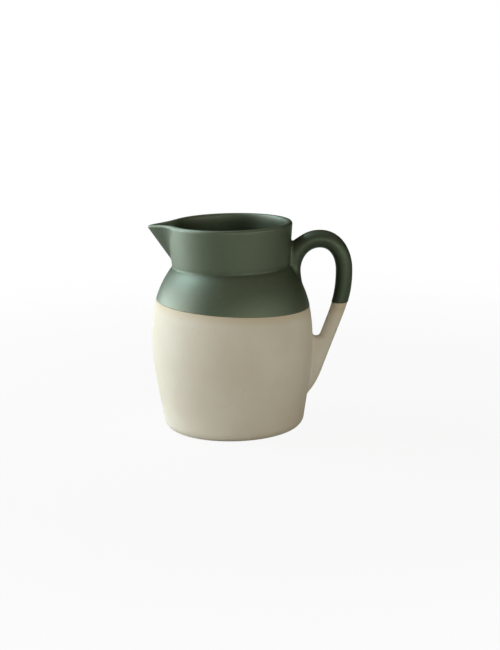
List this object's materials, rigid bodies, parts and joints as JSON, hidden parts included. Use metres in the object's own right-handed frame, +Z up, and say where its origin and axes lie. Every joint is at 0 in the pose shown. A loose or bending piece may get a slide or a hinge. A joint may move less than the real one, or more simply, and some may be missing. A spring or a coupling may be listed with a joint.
{
  "type": "water pitcher",
  "caption": "Stoneware water pitcher with a rounded belly, straight collar, beak spout and loop handle, glazed green above a dip line, for pouring water.",
  "frame": {"origin": "on the pitcher's axis, in the plane of the foot ring that it stands on", "axes": "+Z up along the axis, +X towards the handle, -X towards the spout; the XZ plane is the mirror plane"},
  "size_m": [0.1948, 0.1552, 0.2],
  "materials": {
    "bare_stoneware": "smooth matte",
    "slip": "matte",
    "green_glaze": "satin matte"
  },
  "bodies": {
    "root": {"body": "bare_stoneware", "spout": "bare_stoneware", "handle": "bare_stoneware", "spout_slip": "slip", "upper_handle_slip": "slip", "lower_handle_slip": "slip", "collar_glaze": "green_glaze", "liner_glaze": "green_glaze", "spout_glaze": "green_glaze", "handle_glaze": "green_glaze"}
  },
  "joints": []
}
